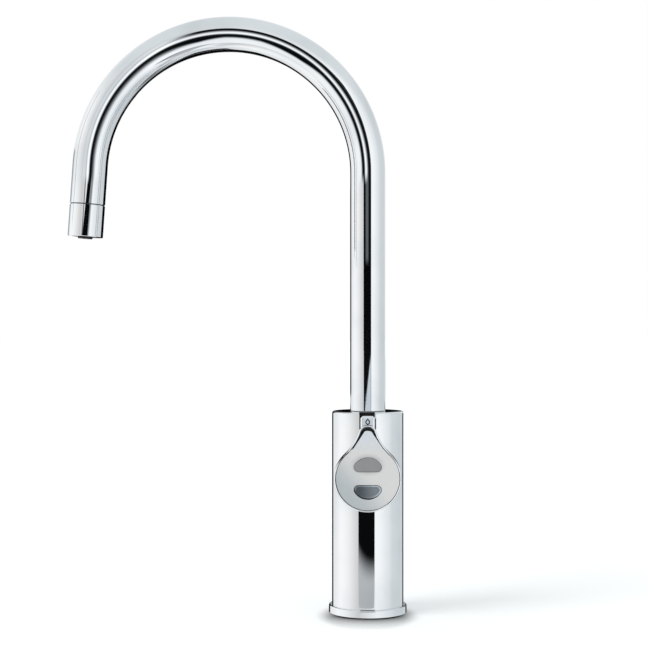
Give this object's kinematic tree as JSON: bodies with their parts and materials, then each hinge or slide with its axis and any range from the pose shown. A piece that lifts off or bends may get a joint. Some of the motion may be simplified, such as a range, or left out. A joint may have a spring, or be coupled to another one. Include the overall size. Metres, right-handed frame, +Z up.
{
  "type": "filtered water kitchen tap",
  "caption": "Filtered-water kitchen tap: swivelling gooseneck spout on a round body, with a teardrop pull lever that carries half-moon push buttons.",
  "frame": {"origin": "centre of the round seat that the tap stands on, in the plane of the worktop", "axes": "+Z up along the body's and the riser's axis; -Y is the front, where the lever is; the spout points along -X at rest, as in the picture"},
  "size_m": [0.2145, 0.056, 0.3753],
  "materials": {
    "chrome": "bright chrome plate on brass, mirror polished",
    "satin_face": "fine satin chrome",
    "brass": "turned brass, unplated",
    "stainless": "drawn and turned stainless steel",
    "bracket_steel": "cast zinc, as cast",
    "acetal": "natural acetal, turned",
    "black_rubber": "black moulded rubber",
    "black_plastic": "black moulded plastic",
    "plunger_white": "white moulded acetal",
    "grey_button": "mid grey moulded plastic, satin",
    "blue_button": "dark blue-grey moulded plastic, glossy",
    "circuit_board": "green solder mask",
    "clear_lens": "smoke-tinted clear plastic",
    "led_white": "milky resin",
    "lead_black": "black PVC sheath"
  },
  "bodies": {
    "tap_body": {"access_plug": "black_plastic", "base_block": "brass", "base_ring": "chrome", "body_shell": "chrome", "bracket_screws": "stainless", "cold_feed_tube": "stainless", "cold_inlet_fitting": "brass", "deck_gasket": "black_rubber", "dispense_switch": "black_plastic", "hinge_bracket": "bracket_steel", "hinge_pin": "stainless", "hot_feed_tube": "stainless", "hot_inlet_fitting": "brass", "housing_screws": "stainless", "inner_tube_oring": "black_rubber", "lever_lead": "lead_black", "lever_spring": "stainless", "lower_bush": "acetal", "port_block": "brass", "port_gasket": "black_rubber", "port_screws": "stainless", "signal_lead": "lead_black", "signal_socket": "black_plastic", "stop_screw": "stainless", "switch_pins": "stainless", "swivel_housing": "brass", "upper_bush": "acetal"},
    "spout": {"spout_tube": "chrome", "inner_tube": "stainless", "spout_tail": "brass", "tail_orings": "black_rubber", "nozzle_nipple": "brass", "nozzle_sleeve": "chrome", "outlet_insert": "black_plastic", "outlet_oring": "black_rubber"},
    "lever": {"lever_shell": "chrome", "face_plate": "satin_face", "switch_board": "circuit_board", "button_switches": "black_plastic", "indicator_led": "led_white", "indicator_lens": "clear_lens", "back_cover": "black_plastic", "cover_screws": "stainless", "lever_bumper": "black_rubber"},
    "select_button": {"select_button": "grey_button"},
    "safety_button": {"safety_button": "blue_button"},
    "switch_plunger": {"switch_plunger": "plunger_white"}
  },
  "joints": [
    {"name": "spout_swivel", "type": "hinge", "parent": "tap_body", "child": "spout", "pos_m": [0, 0, 0.11], "axis": [0, 0, 1], "range_deg": [0, 180]},
    {"name": "lever_lift", "type": "hinge", "parent": "tap_body", "child": "lever", "pos_m": [0, -0.0164, 0.1194], "axis": [-1, 0, 0], "range_deg": [0, 20], "stiffness_Nm_per_rad": 0.25, "springref_deg": -17.19, "deforming": ["lever_spring", "lever_lead"]},
    {"name": "select_press", "type": "slide", "parent": "lever", "child": "select_button", "axis": [0, 1, 0], "range_m": [0, 0.0006], "stiffness_N_per_m": 900, "springref_m": -0.0006},
    {"name": "safety_press", "type": "slide", "parent": "lever", "child": "safety_button", "axis": [0, 1, 0], "range_m": [0, 0.0006], "stiffness_N_per_m": 900, "springref_m": -0.0006},
    {"name": "plunger_slide", "type": "slide", "parent": "tap_body", "child": "switch_plunger", "axis": [0, 0, -1], "range_m": [0, 0.0006], "stiffness_N_per_m": 0.04, "springref_m": -0.0054}
  ],
  "couplings": [
    {"joint": "plunger_slide", "follows": "lever_lift", "m_per_rad": 0.0016}
  ]
}
